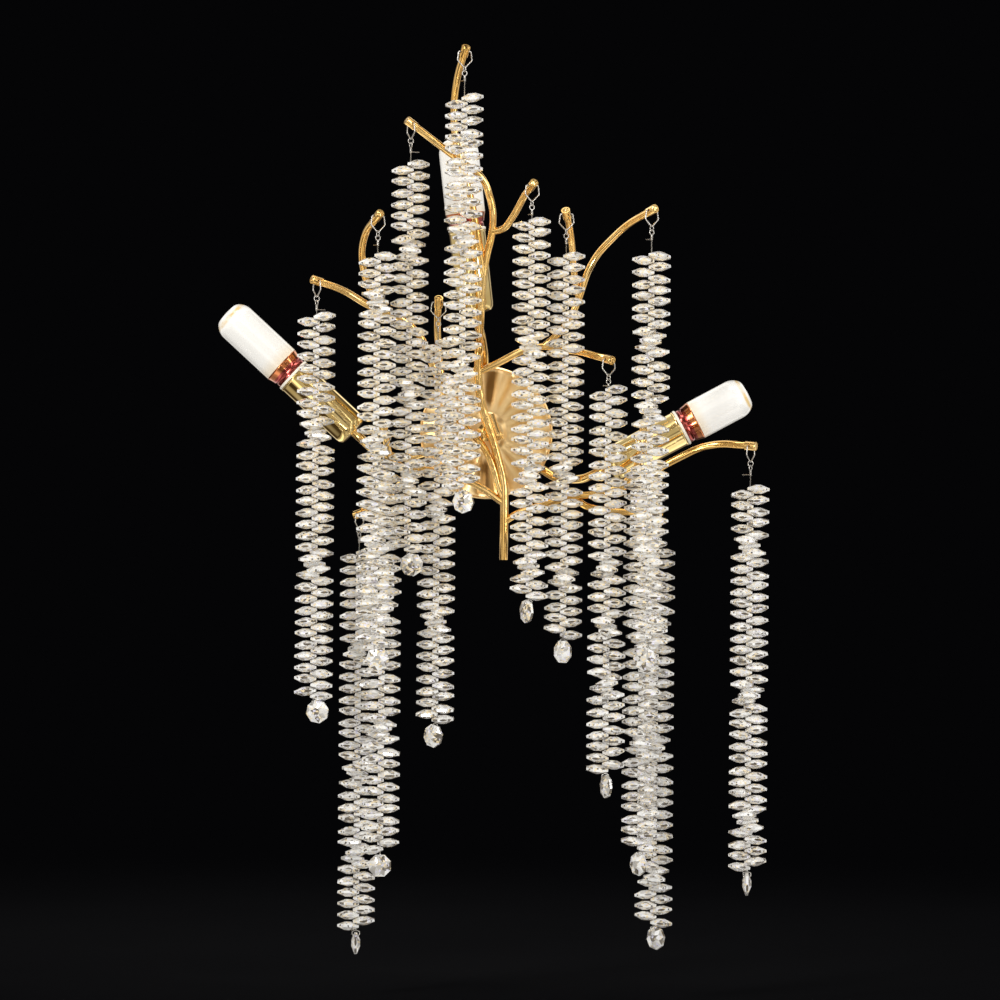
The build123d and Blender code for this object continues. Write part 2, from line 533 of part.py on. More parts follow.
for letter, (bare_wire, beads, half_turns, drop_heading, drop_tilt) in STRANDS.items():
    tip = branches[letter]
    x, y, z = tip.hole
    across = Plane(origin=tip.hole, x_dir=tip.axis, z_dir=tip.axis.cross(Vector(0, 0, 1)))
    hook = wire_loop(across, [
        (-HOOK_WIDTH / 2, 0), (HOOK_WIDTH / 2, 0), (HOOK_BELLY / 2, -HOOK_BELLY_DROP), (0, -HOOK_HEIGHT),
        (-HOOK_BELLY / 2, -HOOK_BELLY_DROP),
    ], HOOK_WIRE_RADIUS, HOOK_BEND)
    # The ring hangs in the hook, square to it, and the eye of the strand wire hangs in the ring.
    hook_rest = hook.part.bounding_box().min.Z + 2 * HOOK_WIRE_RADIUS
    ring_height = hook_rest + LINK_GAP + WIRE_RADIUS - RING_RADIUS
    with BuildPart() as ring:
        with Locations(Plane(origin=(x, y, ring_height), x_dir=(0, 0, 1), z_dir=tip.axis)):
            Torus(RING_RADIUS, WIRE_RADIUS)
    eye_height = ring_height - RING_RADIUS + 2 * WIRE_RADIUS + LINK_GAP - EYE_RADIUS
    eye_foot = eye_height - EYE_RADIUS
    first = z - bare_wire
    last = first - BEAD_PITCH * (beads - 1)
    # The twist below the eye ends above the first bead, however short the bare wire is.
    first_top = first + BEAD_EDGE_THICK / 2 + (BEAD_HOLE_FROM_EDGE + TWIST_RADIUS) * BEAD_BEVEL / BEAD_SLOPE
    twist_length = min(TWIST_LENGTH, eye_foot - first_top - LINK_GAP)
    drop_hole = last - DROP_HOLE_BELOW_BEAD
    bail_top = drop_hole + BAIL_HEIGHT
    heading = radians(drop_heading)
    drop_normal = Vector(cos(heading), sin(heading), 0)
    with BuildPart() as wire:
        with Locations(Plane(origin=(x, y, eye_height), x_dir=(0, 0, 1), z_dir=across.z_dir)):
            Torus(EYE_RADIUS, WIRE_RADIUS)
        with BuildSketch(Plane.XY.offset(eye_foot)):
            with Locations((x, y)):
                Circle(WIRE_RADIUS)
        extrude(amount=bail_top - eye_foot)
        with BuildSketch(Plane.XY.offset(eye_foot)):
            with Locations((x, y)):
                Circle(TWIST_RADIUS)
        extrude(amount=-twist_length)
        with BuildSketch(Plane(origin=(x, y, eye_foot - twist_length + 2 * WIRE_RADIUS), z_dir=across.z_dir)):
            Circle(WIRE_RADIUS)
        extrude(amount=TAIL_LENGTH)
    bail = wire_loop(
        Plane(origin=(x, y, drop_hole), x_dir=drop_normal, z_dir=drop_normal.cross(Vector(0, 0, 1))), [
            (-BAIL_WIDTH / 2, 0), (BAIL_WIDTH / 2, 0), (BAIL_WIDTH / 2, BAIL_SHOULDER),
            (0, bail_top - drop_hole), (-BAIL_WIDTH / 2, BAIL_SHOULDER),
        ], WIRE_RADIUS, BAIL_BEND)
    with BuildPart() as strand_wire:
        add(wire.part)
        add(bail.part)
    SHAPES[f"strand_{letter}_wire"] = Compound([hook.part, ring.part, *strand_wire.part.solids()])

    crystals = []
    for number in range(beads):
        turn = zigzag_heading(number, half_turns)
        reach = Location((BEAD_REACH, 0, 0))
        place = Location((x, y, first - BEAD_PITCH * number), (0, 0, turn))
        crystals.append(bead.part.moved(place * reach))
    upright = Location(Plane(origin=(x, y, drop_hole), x_dir=(0, 0, -1), z_dir=drop_normal))
    drop = upright * Location((0, 0, 0), (0, 0, drop_tilt)) * Location((BEAD_REACH, 0, 0))
    crystals.append(bead.part.moved(drop))
    SHAPES[f"strand_{letter}_crystals"] = Compound(crystals)

for name, shape in SHAPES.items():
    keep(shape, name)
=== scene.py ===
"""The looks of the crystal wall sconce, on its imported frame.

The frame is the part's own: +X to the right, +Y into the wall, +Z up, in metres. Sizes in the tables are in
millimetres, as in the part, and MM turns them into metres.
"""

import json

import bmesh
import bpy
import numpy as np
from mathutils import Matrix, Vector


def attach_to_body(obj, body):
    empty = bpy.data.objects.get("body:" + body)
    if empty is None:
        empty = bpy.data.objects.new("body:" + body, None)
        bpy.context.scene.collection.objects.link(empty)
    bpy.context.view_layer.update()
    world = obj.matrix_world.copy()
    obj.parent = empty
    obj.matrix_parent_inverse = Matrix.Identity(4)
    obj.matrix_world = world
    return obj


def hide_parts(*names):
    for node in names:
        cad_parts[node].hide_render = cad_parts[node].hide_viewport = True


MM = 0.001
SHARP = 0.6  # an edge is kept sharp where its faces turn by more than this, in radians
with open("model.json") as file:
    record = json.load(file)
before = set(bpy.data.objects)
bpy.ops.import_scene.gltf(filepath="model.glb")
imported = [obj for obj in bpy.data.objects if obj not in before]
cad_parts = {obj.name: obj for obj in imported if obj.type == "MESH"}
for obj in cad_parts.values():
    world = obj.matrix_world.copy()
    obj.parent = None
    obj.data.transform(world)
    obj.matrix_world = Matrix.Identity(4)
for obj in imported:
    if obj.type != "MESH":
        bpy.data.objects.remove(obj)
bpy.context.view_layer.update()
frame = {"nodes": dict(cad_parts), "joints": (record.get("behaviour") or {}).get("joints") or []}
random = np.random.default_rng(7)


# --- Shader maths ---------------------------------------------------------------------------------------------
class Level:
    """A number in a material's nodes. Sums, products and powers of levels add Math nodes."""

    def __init__(self, finish, socket):
        self.finish, self.socket = finish, socket

    def maths(self, operation, *values):
        """The result of a Math node, whose inputs are levels, sockets or plain numbers."""
        made = self.finish.node("ShaderNodeMath", {"operation": operation}, dict(enumerate(values)))
        return Level(self.finish, made.outputs[0])

    def __add__(self, other):
        return self.maths("ADD", self, other)

    def __sub__(self, other):
        return self.maths("SUBTRACT", self, other)

    def __rsub__(self, other):
        return self.maths("SUBTRACT", other, self)

    def __mul__(self, other):
        return self.maths("MULTIPLY", self, other)

    def __pow__(self, other):
        return self.maths("POWER", self, other)

    __radd__, __rmul__ = __add__, __mul__

    def at_most(self, limit):
        """The level, cut off above the limit."""
        return self.maths("MINIMUM", self, limit)

    def between(self, low, high):
        """0 below low, 1 above high, and smooth in between."""
        made = self.finish.node("ShaderNodeMapRange", {"interpolation_type": "SMOOTHSTEP"},
                                {"Value": self, "From Min": low, "From Max": high})
        return Level(self.finish, made.outputs[0])


class Finish:
    """One material of the sconce with its nodes, or the world's nodes when its tree is given."""

    def __init__(self, name, tree=None):
        if tree is None:
            self.material = bpy.data.materials.new(name)
            self.material.use_nodes = True
            tree = self.material.node_tree
        self.tree = tree

    def node(self, kind, settings, inputs):
        """Adds a node, sets its properties, and links or sets its inputs."""
        made = self.tree.nodes.new(kind)
        for key, value in settings.items():
            setattr(made, key, value)
        for key, value in inputs.items():
            value = value.socket if isinstance(value, Level) else value
            if isinstance(value, bpy.types.NodeSocket):
                self.tree.links.new(value, made.inputs[key])
            else:
                made.inputs[key].default_value = value
        return made

    def place(self, stretch=(1, 1, 1)):
        """The point on the piece, in the part's own frame, stretched along the axes."""
        here = self.node("ShaderNodeTexCoord", {}, {}).outputs["Object"]
        return self.node("ShaderNodeMapping", {}, {"Vector": here, "Scale": stretch}).outputs[0]

    def clouds(self, scale, detail=3.0):
        """Noise from 0 to 1 with about `scale` clouds to the metre."""
        made = self.node("ShaderNodeTexNoise", {}, {"Vector": self.place(), "Scale": scale, "Detail": detail})
        return Level(self, made.outputs["Fac"])

    def mark(self, name):
        """A number that the mesh carries."""
        return Level(self, self.node("ShaderNodeAttribute", {"attribute_name": name}, {}).outputs["Fac"])

    def tint(self, level, low, high):
        """A colour that goes from low to high with a level."""
        low, high = (end if isinstance(end, bpy.types.NodeSocket) else (*end, 1) for end in (low, high))
        return self.node("ShaderNodeMix", {"data_type": "RGBA"}, {0: level, 6: low, 7: high}).outputs[2]

    def relief(self, level, depth):
        """A bump that stands `depth` metres high where the level is 1."""
        return self.node("ShaderNodeBump", {}, {"Height": level, "Distance": depth}).outputs["Normal"]

    def surface(self, **values):
        """Sets the Principled shader's sockets, with _ for the spaces in their names."""
        shader = self.tree.nodes["Principled BSDF"]
        for key, value in values.items():
            socket = shader.inputs[key.replace("_", " ")]
            value = value.socket if isinstance(value, Level) else value
            if isinstance(value, bpy.types.NodeSocket):
                self.tree.links.new(value, socket)
            else:
                socket.default_value = value
        return self.material


def brass(name, deep, bright, rough):
    """Polished warm metal: slow clouds go from the deep colour to the bright one, under a very fine grain."""
    f = Finish(name)
    clouds, grain = f.clouds(38, 4), f.clouds(700, 2)
    return f.surface(
        Base_Color=f.tint(clouds.between(0.3, 0.7), deep, bright), Metallic=1.0,
        Roughness=rough + 0.06 * clouds * grain, Normal=f.relief(grain, 0.000005))


def plate_brass():
    """Satin gold with a fine grain. Painted shade makes it deeper in the valleys of the flutes, and a painted
    reflection of dark surroundings makes it brown in two sectors.
    """
    f = Finish("satin_brass")
    valley, painted_reflection_sector, clouds, grain = f.mark("valley"), f.mark("painted_reflection_sector"), f.clouds(30, 4), f.clouds(900, 2)
    # Painted shade in the valleys of the flutes, mixed with slow random clouds.
    dark = (valley * 0.75 + clouds * 0.35).between(0.25, 0.95)
    gold = f.tint(dark, (1.0, 0.74, 0.38), (0.86, 0.53, 0.19))
    # Painted reflection of dark surroundings: brown in two sectors.
    brown = (painted_reflection_sector * (0.7 + 0.5 * clouds)).between(0.1, 0.9)
    return f.surface(
        Base_Color=f.tint(brown, gold, (0.22, 0.115, 0.035)), Metallic=1.0,
        Roughness=0.27 + 0.10 * clouds, Normal=f.relief(grain, 0.00003))


BRASS_MIDDLE = (0.0, -0.05, 0.06)  # in metres; crystals get more painted reflection of the brass's colour the nearer they are
DROP_DEPTH = 2.0  # the depth that a strand's drop carries; other crystals stay well below it


def cut_crystal():
    """Clear crystal, with painted light and shade. Each facet carries its own painted tone of light and shade, and
    small cells are painted glints for what the cut gathers: mostly white, some gold as a painted reflection of
    the brass, some lilac, and dark ones.

    Seen from its edge a crystal shows a painted dark lens in the middle of the girdle, a painted reflection of
    dark surroundings, and a painted dark dot of shade at the empty hole. Both are ellipses: the squares of the
    scaled distances from their middle add up to less than about 1. The marks `along` and `height` give the place
    on the crystal in millimetres from its middle, `depth` how dark the lens is and `shift` where its middle lies.
    The two ends of a crystal, 6.6 to 7.9 mm out, are lighter: a painted highlight. The crystal also glows faintly
    in its own colour, a painted glow.
    """
    f = Finish("crystal")
    tone, depth, shift, along, height = (f.mark(name) for name in ("tone", "depth", "shift", "along", "height"))
    # Small cells of painted glints: X gives the dark ones, Y the gold painted reflection of the brass, Z lilac
    # ones.
    cells = f.node("ShaderNodeTexVoronoi", {"feature": "F1"}, {"Vector": f.place((1, 1, 1.3)), "Scale": 620})
    parts = f.node("ShaderNodeSeparateXYZ", {}, {0: cells.outputs["Color"]}).outputs
    painted_glint, gold, lilac = (Level(f, parts[axis]) for axis in "XYZ")
    # Painted light and shade of the facets: grey to white by each facet's tone.
    grey = f.tint(tone.between(0.0, 0.3), (0.12, 0.10, 0.075), (0.72, 0.70, 0.66))
    white = f.tint(tone.between(0.3, 0.85), grey, (0.98, 0.98, 0.96))
    # Painted reflection of the brass: more gold cells the nearer the crystal is to the brass.
    away = f.node("ShaderNodeVectorMath", {"operation": "DISTANCE"}, {0: f.place(), 1: BRASS_MIDDLE})
    painted_brass_reflection = 1 - Level(f, away.outputs["Value"]).between(0.06, 0.30)
    warm = f.tint((gold + 0.22 * painted_brass_reflection).between(0.74, 0.95), white, (0.94, 0.77, 0.48))
    cool = f.tint(lilac.between(0.90, 0.97), warm, (0.82, 0.80, 0.96))
    # Painted highlight: the two ends of each crystal are lighter.
    tip = (along * along).between(44, 62)
    drop = depth.between(DROP_DEPTH - 0.5, DROP_DEPTH - 0.1)
    # Painted dark glints, which the drop doesn't have.
    painted_glints = f.tint(painted_glint.between(0.89, 0.94) * (1 - drop), cool, (0.12, 0.10, 0.08))
    painted_tip_light = f.tint(tip * 0.6, painted_glints, (1.0, 1.0, 0.98))
    # Painted dark lens, a reflection of dark surroundings, and painted shade at the empty hole.
    lens = ((along - shift) * 0.34) ** 2 + (height * 1.15) ** 2
    dot = ((along - 5.7) * 1.6) ** 2 + (height * 1.4) ** 2
    shade = (1 - lens.between(0.6, 1.1)) * depth + (1 - dot.between(0.6, 1.1)) * 0.8
    shadow = f.tint(gold, (0.045, 0.036, 0.028), (0.16, 0.12, 0.075))
    colour = f.tint(shade.between(0.1, 0.8), painted_tip_light, shadow)
    # A painted glow: the crystal gives off a little of its own colour, though it is no lamp.
    return f.surface(
        Base_Color=colour, Roughness=0.02 + 0.08 * gold, IOR=1.52, Transmission_Weight=0.25,
        Coat_Weight=1.0, Coat_Roughness=0.02, Emission_Color=colour, Emission_Strength=0.10)


def hole_shadow():
    """A dark sleeve of painted shade in the empty hole near a crystal's outer edge: nearly black, with a faint
    mottle.
    """
    f = Finish("hole_shadow")
    return f.surface(Base_Color=f.tint(f.clouds(400), (0.030, 0.024, 0.018), (0.09, 0.07, 0.05)), Roughness=0.5)


def steel(name, tone, rough):
    """Grey metal: slow clouds go from three quarters of its tone to all of it, under a fine grain."""
    f = Finish(name)
    clouds, grain = f.clouds(60), f.clouds(1500, 2)
    return f.surface(
        Base_Color=f.tint(clouds, [0.75 * part for part in tone], tone), Metallic=1.0,
        Roughness=rough + 0.12 * grain, Normal=f.relief(grain, 0.00002))


def opal_glass():
    """Lit opal glass: white, a little warmer at the foot, with a faint yellow ring under the dome. The mark
    `up` goes from 0 at the collar to 1 at the crown."""
    f = Finish("opal_glass")
    up, clouds = f.mark("up"), f.clouds(40)
    ring = up.between(0.87, 0.91) * (1 - up.between(0.92, 0.96)) * (0.5 + f.clouds(150, 2).between(0.35, 0.6))
    warm = (1 - up.between(0.0, 0.20)) * 0.40 + ring * 0.75 + clouds * 0.08
    return f.surface(
        Base_Color=f.tint(warm, (0.72, 0.71, 0.68), (0.62, 0.45, 0.20)), Roughness=0.18 + 0.05 * clouds,
        Emission_Color=f.tint(warm, (1.0, 0.985, 0.95), (0.72, 0.46, 0.16)), Emission_Strength=0.22,
        Coat_Weight=0.6, Coat_Roughness=0.04)


def copper_lacquer():
    """Glossy red-brown lacquer over copper; the band at the glass is orange-brown."""
    f = Finish("copper_red")
    band, clouds = f.mark("band"), f.clouds(90, 4)
    red = f.tint(clouds, (0.30, 0.045, 0.035), (0.40, 0.075, 0.06))
    orange = f.tint(clouds, (0.50, 0.16, 0.05), (0.62, 0.22, 0.08))
    return f.surface(Base_Color=f.tint(band.between(0.4, 0.6), red, orange), Metallic=1.0,
                     Roughness=0.14 + 0.04 * clouds, Coat_Weight=0.4, Coat_Roughness=0.03)


def plain(name, low, high, rough):
    """Ceramic or plastic: a faint mottle and a fine skin."""
    f = Finish(name)
    clouds, skin = f.clouds(70), f.clouds(1200, 2)
    return f.surface(Base_Color=f.tint(clouds, low, high), Roughness=rough + 0.10 * skin,
                     Normal=f.relief(skin, 0.00003))


POLISHED_BRASS = brass("polished_brass", (0.80, 0.47, 0.13), (0.97, 0.68, 0.28), 0.07)
CUP_BRASS = brass("cup_brass", (0.74, 0.54, 0.20), (0.92, 0.72, 0.34), 0.05)
SATIN_BRASS = plate_brass()
CRYSTAL, HOLE = cut_crystal(), hole_shadow()
WIRE = steel("steel_wire", (0.55, 0.53, 0.50), 0.18)
ZINC = steel("zinc_steel", (0.62, 0.62, 0.62), 0.35)
OPAL, COPPER = opal_glass(), copper_lacquer()
CERAMIC = plain("cream_ceramic", (0.90, 0.84, 0.70), (0.95, 0.91, 0.80), 0.22)
PLASTIC = plain("white_plastic", (0.86, 0.85, 0.82), (0.92, 0.92, 0.90), 0.45)
SLEEVING = plain("lead_insulation", (0.74, 0.68, 0.50), (0.83, 0.78, 0.62), 0.50)


# --- Shapes ---------------------------------------------------------------------------------------------------
def attach(name, mesh, body, nodes, smooth=True):
    """Makes an object of a mesh. It rides on a body and hides the CAD nodes that it stands for."""
    mesh.polygons.foreach_set("use_smooth", np.full(len(mesh.polygons), smooth))
    if smooth:
        mesh.set_sharp_from_angle(angle=SHARP)
    made = bpy.data.objects.new(name, mesh)
    bpy.context.scene.collection.objects.link(made)
    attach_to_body(made, body)
    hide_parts(*nodes)
    return made


def piece(name, points, faces, finishes, body, nodes, marks=(), smooth=True):
    """An object from points in millimetres, in the part's frame, and faces. A mark is a name, its domain and
    one value for each point or face."""
    mesh = bpy.data.meshes.new(name)
    mesh.from_pydata(np.asarray(points) * MM, [], faces)
    for finish in finishes:
        mesh.materials.append(finish)
    for mark, domain, values in marks:
        mesh.attributes.new(mark, "FLOAT", domain).data.foreach_set("value", np.asarray(values, np.float32))
    return attach(name, mesh, body, nodes, smooth)


def grid_faces(rows, columns):
    """Quads over a grid that closes on itself both ways: corner (i, j) joins its neighbours, counted round."""
    i, j = np.meshgrid(np.arange(rows), np.arange(columns), indexing="ij")
    ahead, beside = (i + 1) % rows, (j + 1) % columns
    corners = [i * columns + j, i * columns + beside, ahead * columns + beside, ahead * columns + j]
    return np.stack(corners, axis=-1).reshape(-1, 4)


def soften(corners, reach, steps):
    """A polyline whose corners are tangent arcs.

    An arc leaves its corner `reach` before and after it: start + r (sin t a + (1 - cos t) n), for t from 0 to
    the turn, where a is the way in, n points to the arc's middle and r = reach / tan(turn / 2).
    """
    corners = np.asarray(corners, float)
    ways = np.diff(corners, axis=0)
    ways /= np.linalg.norm(ways, axis=1)[:, None]
    a, b = ways[:-1], ways[1:]
    turn = np.maximum(np.arccos(np.clip((a * b).sum(1), -1, 1)), 1e-4)[:, None]
    reach = np.broadcast_to(reach, turn.shape[:1])[:, None]
    inward = (b - a * np.cos(turn)) / np.sin(turn)
    t = np.linspace(0, 1, steps)[:, None, None] * turn
    arcs = corners[1:-1] - a * reach + reach / np.tan(turn / 2) * (np.sin(t) * a + (1 - np.cos(t)) * inward)
    return np.vstack([corners[:1], arcs.transpose(1, 0, 2).reshape(-1, corners.shape[1]), corners[-1:]])


def turned_points(outline, foot, axis, sides, ripple=0.0):
    """A closed outline of (radius, height) turned round an axis: foot + (h + ripple) axis + r (cos u e + sin u f),
    where e and f stand square to the axis and to each other."""
    axis = np.asarray(axis, float) / np.linalg.norm(axis)
    e = np.cross(axis, (0, 1, 0) if abs(axis[1]) < 0.9 else (1, 0, 0))
    e /= np.linalg.norm(e)
    f = np.cross(axis, e)
    u = np.linspace(0, 2 * np.pi, sides, endpoint=False)[None, :, None]
    radius, height = (np.asarray(outline, float)[:, part, None, None] for part in (0, 1))
    return np.asarray(foot, float) + (height + ripple) * axis + radius * (np.cos(u) * e + np.sin(u) * f)


def turned(name, outline, foot, axis, finish, body, nodes, mark=None):
    """A turned piece of 72 sides. A mark is a name and one value for each point of the outline."""
    sides = 72
    points = turned_points(outline, foot, axis, sides)
    faces = grid_faces(len(outline), sides)
    marks = [(mark[0], "POINT", np.repeat(mark[1], sides))] if mark else []
    piece(name, points.reshape(-1, 3), faces.tolist(), [finish], body, nodes, marks)


def smoothed(node, finish, body="fixture"):
    """A CAD node's own mesh, with points closer than 0.002 mm merged, so that its round faces shade as round."""
    mesh = frame["nodes"][node].data.copy()
    shape = bmesh.new()
    shape.from_mesh(mesh)
    bmesh.ops.remove_doubles(shape, verts=shape.verts, dist=0.002 * MM)
    shape.to_mesh(mesh)
    shape.free()
    mesh.materials.clear()
    mesh.materials.append(finish)
    attach(node + "_round", mesh, body, [node])


# --- Branches, post, canopy and fixings -----------------------------------------------------------------------
STRANDS = "abcdefghijklmn"
for node in ["main_stem", "tip_ferrules", "centre_post", "canopy", "lamp_arms"] + ["branch_" + s for s in STRANDS]:
    smoothed(node, POLISHED_BRASS)
for node in ["wall_bracket", "centre_fixing"]:
    smoothed(node, ZINC)
smoothed("terminal_block", PLASTIC)
smoothed("lamp_leads", SLEEVING)

# --- Fluted plate ---------------------------------------------------------------------------------------------
FLUTES, FLUTE_DEPTH = 22, 0.7
FLUTES_START, FLUTES_FULL, FLUTES_FALL, FLUTES_END = 15.5, 24.5, 45.1, 47.6  # radii
DARK_REFLECTION_SECTORS, SECTOR_WIDTH = (-0.08, 3.10), 0.16  # where the two sectors of painted brown reflection lie, in radians
PLATE_FRONT = [(5.2, 36.2), (12.2, 36.2), (15.2, 32.4), (36.0, 27.4), (47.4, 24.7)]
PLATE_RIM = [(48.3, 25.3), (49.3, 24.5), (49.3, 23.4), (48.3, 22.8)]
PLATE_BACK = [(47.2, 23.6), (36.0, 26.3), (15.2, 31.2), (12.6, 35.0), (5.2, 35.0)]


def fluted_plate():
    """A turned sheet with flutes. At the angle u its height is lowered by
    FLUTE_DEPTH F(r) (1 - |cos(FLUTES u / 2)|) ^ 0.8, where F rises smoothly past the boss and falls at the rim.
    The share of painted brown reflection is exp(-(angle from its middle / SECTOR_WIDTH) ^ 2) F(r)."""
    front = soften(PLATE_FRONT, 1.2, 5)
    spread, corners = np.linspace(0, 1, 70), np.linspace(0, 1, len(front))
    front = np.column_stack([np.interp(spread, corners, front[:, part]) for part in (0, 1)])
    outline = np.vstack([front, PLATE_RIM, PLATE_BACK])
    sides = FLUTES * 16
    u = np.linspace(0, 2 * np.pi, sides, endpoint=False)
    r = outline[:, 0, None]
    rise = np.clip((r - FLUTES_START) / (FLUTES_FULL - FLUTES_START), 0, 1)
    fall = np.clip((FLUTES_END - r) / (FLUTES_END - FLUTES_FALL), 0, 1)
    share = rise * fall
    share = share * share * (3 - 2 * share)
    valley = share * (1 - np.abs(np.cos(FLUTES * u / 2)))[None, :] ** 0.8
    turn = np.angle(np.exp(1j * (u - np.array(DARK_REFLECTION_SECTORS)[:, None])))
    painted_reflection_sector = np.exp(-(turn / SECTOR_WIDTH) ** 2).sum(0)
    points = turned_points(outline, (0, 0, 0), (0, -1, 0), sides, -(valley * FLUTE_DEPTH)[..., None])
    piece("fluted_plate", points.reshape(-1, 3), grid_faces(len(outline), sides).tolist(), [SATIN_BRASS],
          "fixture", ["back_plate"],
          [("valley", "POINT", valley.ravel()), ("painted_reflection_sector", "POINT", (painted_reflection_sector * share).ravel())])


fluted_plate()

# --- Lamps ----------------------------------------------------------------------------------------------------
LAMP_DEPTH = 38.0  # how far the lamps' axes lie in front of the wall
COLLAR, BAND = 73.7, 69  # heights along a lamp's axis: the collar's top, and the foot of its orange-brown band
GLASS_RADIUS, GLASS_WALL = 14.7, 1.3
LAMPS = {  # axis in X and Z, foot in X and Z, length of the glass
    "top": ((-15.2, 130.1), (-8.3, 88.9), 56.0),
    "left": ((-96.9, 88.6), (-97.8, -0.6), 56.0),
    "right": ((53.6, 29.1), (90.5, -24.7), 43.5),
}
CUP_OUTLINE = [(3.3, 0), (8.6, 0), (11.6, 0.9), (13.1, 3.4), (13.4, 6.5), (13.4, 58.9), (13.75, 59.2),
               (13.85, 59.8), (13.7, 60.4), (13.2, 60.5), (12.4, 60.4), (12.4, 6), (10.4, 1.2), (3.3, 1.0)]
HOLDER_OUTLINE = [(2.4, 18.5), (11.6, 18.5), (11.6, 60.6), (13.4, 60.6), (13.8, 60.9), (13.9, 61.5), (13.85, 62.2),
                  (13.4, 62.7), (7.2, 62.7), (7.2, 37.3), (2.4, 37.3)]
COLLAR_OUTLINE = [(0.01, 37.7), (4.2, 37.7), (7.0, 42.7), (7.0, 62.75), (12.3, 62.75), (12.8, 63.1), (12.95, 64.3),
                  (12.9, 65.6), (12.5, 66.2), (12.5, 66.5), (13.3, 66.9), (13.6, 67.8), (14.0, 70.2), (14.6, 72.4),
                  (14.75, 73.1), (14.6, 73.7), (13.3, 73.7), (13.3, 75.7), (0.01, 75.7)]

for lamp, ((along, up), (x, z), glass) in LAMPS.items():
    foot, axis = (x, -LAMP_DEPTH, z), (along, 0, up)
    crown = COLLAR + glass
    dome = soften([(GLASS_RADIUS, COLLAR), (GLASS_RADIUS, crown - 6.3), (9.4, crown - 0.9), (0.01, crown)],
                  [5.2, 2.2], 9)
    heights = np.linspace(COLLAR + 1, crown - 13, 11)
    wall = np.column_stack([np.full(len(heights), GLASS_RADIUS), heights])
    inner = dome[::-1] - GLASS_WALL * (dome[::-1] > (1, COLLAR))
    outline = np.vstack([dome[:1], wall, dome[1:], inner])
    turned(f"opal_{lamp}", outline, foot, axis, OPAL, f"bulb_{lamp}",
           [f"bulb_{lamp}_glass"], mark=("up", (outline[:, 1] - COLLAR) / glass))
    turned(f"collar_{lamp}", COLLAR_OUTLINE, foot, axis, COPPER, f"bulb_{lamp}",
           [f"bulb_{lamp}_base"], mark=("band", [float(h > BAND) for r, h in COLLAR_OUTLINE]))
    turned(f"cup_{lamp}", CUP_OUTLINE, foot, axis, CUP_BRASS, "fixture", ["lamp_cups"])
    turned(f"holder_{lamp}", HOLDER_OUTLINE, foot, axis, CERAMIC, "fixture", ["lampholders"])

# --- Crystals -------------------------------------------------------------------------------------------------
PITCH, REACH, DROP = 4.2, 5.84, 6.4  # between crystals, hole to middle, last crystal to the drop's hole
HALF_TURN = 6  # crystals that the zigzag takes to turn half round
SHADE_SLEEVE_SIDES, SHADE_SLEEVE_FACES = 6, 8  # of the dark sleeve of painted shade in a crystal's empty hole; its two ends are faces too
STRAND_TABLE = {  # bare wire, crystals, where the zigzag starts to turn half round, heading and tilt of the drop
    "a": (34.2, 68, (21, 44), 60, -20),
    "b": (30.0, 68, (12, 37, 52), 85, -34),
    "c": (29.1, 68, (5, 30, 47), 85, -25),
    "d": (26.3, 67, (17, 40), 70, -35),
    "e": (29.5, 67, (26, 46), 50, 15),
    "f": (26.3, 66, (19, 41, 57), 30, 30),
    "g": (31.0, 67, (35, 53), 45, 0),
    "h": (32.8, 68, (12, 24, 49), 70, 25),
    "i": (22.0, 67, (28, 38, 48), 25, -15),
    "j": (31.4, 67, (7, 33, 55), 0, 25),
    "k": (29.3, 67, (14, 36, 50), 0, 0),
    "l": (26.5, 68, (22, 43), 88, 0),
    "m": (27.1, 67, (27, 45), 40, 15),
    "n": (30.4, 66, (10, 31, 54), 45, -30),
}


def crystal_shape():
    """One cut crystal in millimetres: an octagonal table each side, eight kites and sixteen triangles down to the
    girdle, and a dark sleeve of painted shade in the empty hole. A ring is r (cos u, sin u) at a height. Each
    ring's number below is that of its first point. The sleeve's faces come last."""
    corner = np.radians(22.5 + 45 * np.arange(8))
    flat = corner + np.radians(22.5)
    rings = [(2.71, 3.2, corner), (5.3, 2.15, flat), (8.66, 0.9, corner), (8.66, -0.9, corner),
             (5.3, -2.15, flat), (2.71, -3.2, corner)]
    shade_sleeve = 2 * np.pi * np.arange(SHADE_SLEEVE_SIDES) / SHADE_SLEEVE_SIDES
    points = [np.column_stack([r * np.cos(u), r * np.sin(u), np.full(8, h)]) for r, h, u in rings]
    points += [np.column_stack([REACH + 0.62 * np.cos(shade_sleeve), 0.62 * np.sin(shade_sleeve), np.full(SHADE_SLEEVE_SIDES, h)])
               for h in (1.8, -1.8)]
    table, kites, girdle, low_girdle, low_kites, low_table, mouth = range(0, 56, 8)
    end = mouth + SHADE_SLEEVE_SIDES
    here = np.arange(8)
    after, before = (here + 1) % 8, (here - 1) % 8
    bore = np.arange(SHADE_SLEEVE_SIDES)
    bore_after = (bore + 1) % SHADE_SLEEVE_SIDES
    groups = [
        (table + here, kites + before, girdle + here, kites + here),
        (table + here, kites + here, table + after),
        (girdle + here, girdle + after, kites + here),
        (low_table + here, low_kites + here, low_girdle + here, low_kites + before),
        (low_table + here, low_table + after, low_kites + here),
        (low_girdle + here, low_kites + here, low_girdle + after),
        (low_girdle + here, low_girdle + after, girdle + after, girdle + here),
        (end + bore, end + bore_after, mouth + bore_after, mouth + bore),
    ]
    faces = [tuple((table + here).tolist()), tuple((low_table + here[::-1]).tolist())]
    for group in groups:
        faces += list(zip(*(part.tolist() for part in group)))
    faces += [tuple((mouth + bore).tolist()), tuple((end + bore[::-1]).tolist())]
    return np.vstack(points), faces


CRYSTAL_POINTS, CRYSTAL_FACES = crystal_shape()


